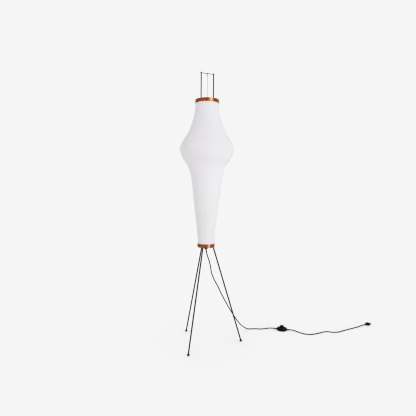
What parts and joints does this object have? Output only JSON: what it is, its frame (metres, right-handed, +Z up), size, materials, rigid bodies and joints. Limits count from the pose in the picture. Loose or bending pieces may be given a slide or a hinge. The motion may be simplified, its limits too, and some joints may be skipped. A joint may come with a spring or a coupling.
{
  "type": "floor lamp",
  "caption": "Paper lantern floor lamp: a ribbed paper shade hung between copper bands on a slim black rod tripod, with a bulb inside, a trailing cord, a foot switch and a plug.",
  "frame": {"origin": "on the floor, on the lamp's upright axis", "axes": "+Z up along the lamp's axis, +X to the side where the cord runs out, -Y towards the camera of the picture"},
  "size_m": [1.3039, 0.5516, 1.6],
  "materials": {
    "black_enamel": "semi-gloss black enamel on steel rod and sheet",
    "black_nut": "blackened steel",
    "foot_rubber": "satin black",
    "copper": "polished copper-plated sheet",
    "antique_brass": "dull antique brass",
    "dark_wire": "darkened steel wire",
    "bright_wire": "drawn steel wire",
    "shade_paper": "matte translucent white paper",
    "bamboo": "split bamboo, unfinished",
    "black_plastic": "fine satin moulded plastic",
    "gloss_black_plastic": "glossy moulded plastic",
    "dark_grey_plastic": "plain moulded plastic",
    "cord_black": "satin extruded cord sheath",
    "porcelain": "white glazed",
    "contact_brass": "plain brass sheet",
    "cap_aluminium": "bright rolled",
    "opal_glass": "opal white glass",
    "zinc_screw": "zinc-plated steel"
  },
  "bodies": {
    "stand": {"leg_side": "black_enamel", "leg_back": "black_enamel", "leg_front": "black_enamel", "foot_side": "foot_rubber", "foot_back": "foot_rubber", "foot_front": "foot_rubber", "base_plate": "black_enamel", "leg_nuts": "black_nut", "bottom_band": "copper", "upright_left": "black_enamel", "upright_right": "black_enamel", "upright_nuts": "black_nut", "crossbar": "antique_brass", "crossbar_caps": "black_nut", "hook": "dark_wire", "stem_tube": "black_enamel", "stem_nuts": "black_nut", "cord_grip": "black_plastic", "lamp_relief": "cord_black", "inner_lead": "cord_black", "holder_cap": "black_plastic", "holder_sleeve": "black_plastic", "holder_insert": "porcelain", "screw_shell": "contact_brass", "centre_contact": "contact_brass", "bulb_cap": "cap_aluminium", "bulb_glass": "opal_glass", "paper_shade": "shade_paper", "rib_hoops": "bamboo", "lamp_cord": "cord_black", "switch_base": "gloss_black_plastic", "switch_cover": "gloss_black_plastic", "button_spring": "bright_wire", "contact_block": "dark_grey_plastic", "switch_screws": "zinc_screw", "switch_relief_in": "cord_black", "switch_relief_out": "cord_black", "plug_cord": "cord_black", "plug_relief": "cord_black", "plug_body": "gloss_black_plastic", "plug_blades": "contact_brass"},
    "shade_top": {"top_band": "copper", "top_cross_wire": "dark_wire", "hanging_wire": "bright_wire"},
    "button": {"switch_button": "gloss_black_plastic"}
  },
  "joints": [
    {"name": "shade_fold", "type": "slide", "parent": "stand", "child": "shade_top", "axis": [0, 0, -1], "range_m": [0, 0.45], "deforming": ["paper_shade", "rib_hoops"]},
    {"name": "switch_press", "type": "slide", "parent": "stand", "child": "button", "axis": [0, 0, -1], "range_m": [0, 0.003], "stiffness_N_per_m": 600, "springref_m": -0.002, "deforming": ["button_spring"]}
  ]
}
